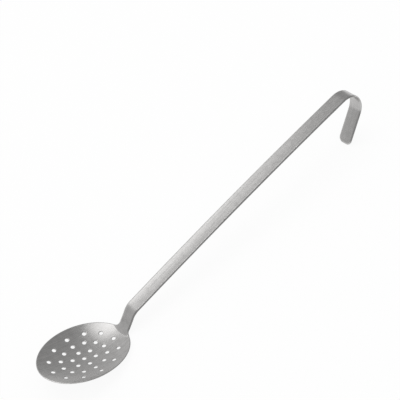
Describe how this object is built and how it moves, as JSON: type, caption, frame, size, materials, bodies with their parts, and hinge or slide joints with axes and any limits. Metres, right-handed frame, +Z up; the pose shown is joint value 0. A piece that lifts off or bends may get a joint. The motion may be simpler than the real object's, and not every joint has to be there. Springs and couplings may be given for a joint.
{
  "type": "skimmer",
  "caption": "Kitchen skimmer pressed in one piece: a shallow oval perforated bowl, a cranked neck and a long flat strip handle turned back as a hanging hook.",
  "frame": {"origin": "centre of the bounding box in plan, at the level of the table that the skimmer lies on", "axes": "+X from the bowl to the hook along the handle, +Z up from the table, +Y across the bowl; the skimmer is the same on both sides of the plane Y = 0"},
  "size_m": [0.4028, 0.0696, 0.0595],
  "materials": {
    "skimmer": "satin brushed stainless steel, grain along the handle"
  },
  "bodies": {
    "root": {"skimmer": "skimmer"}
  },
  "joints": []
}
